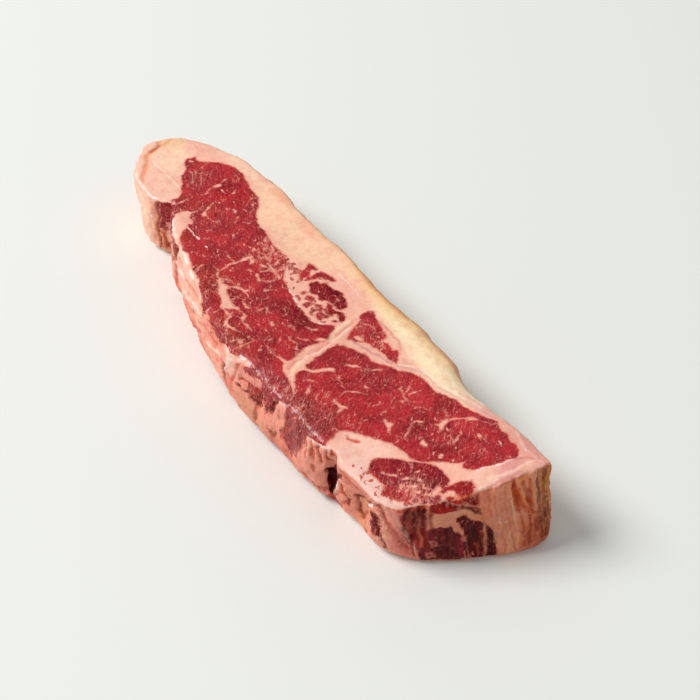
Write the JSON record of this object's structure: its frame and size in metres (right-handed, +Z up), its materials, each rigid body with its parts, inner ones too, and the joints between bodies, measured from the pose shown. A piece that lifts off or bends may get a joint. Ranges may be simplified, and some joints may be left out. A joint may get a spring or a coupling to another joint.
{
  "type": "raw beef steak",
  "caption": "Thick raw beef steak with a long rounded tip, a squared end, a rind of fat along one side and fat seams and marbling in its cut faces.",
  "frame": {"origin": "on the surface that the steak lies on, under the middle of its bounding box", "axes": "+X along the slice towards its squared end, +Y towards the side with the rind of fat, +Z up out of the upper cut face"},
  "size_m": [0.2932, 0.0892, 0.042],
  "materials": {
    "raw_meat": "moist raw muscle with cream fat"
  },
  "bodies": {
    "root": {"steak": "raw_meat"}
  },
  "joints": []
}
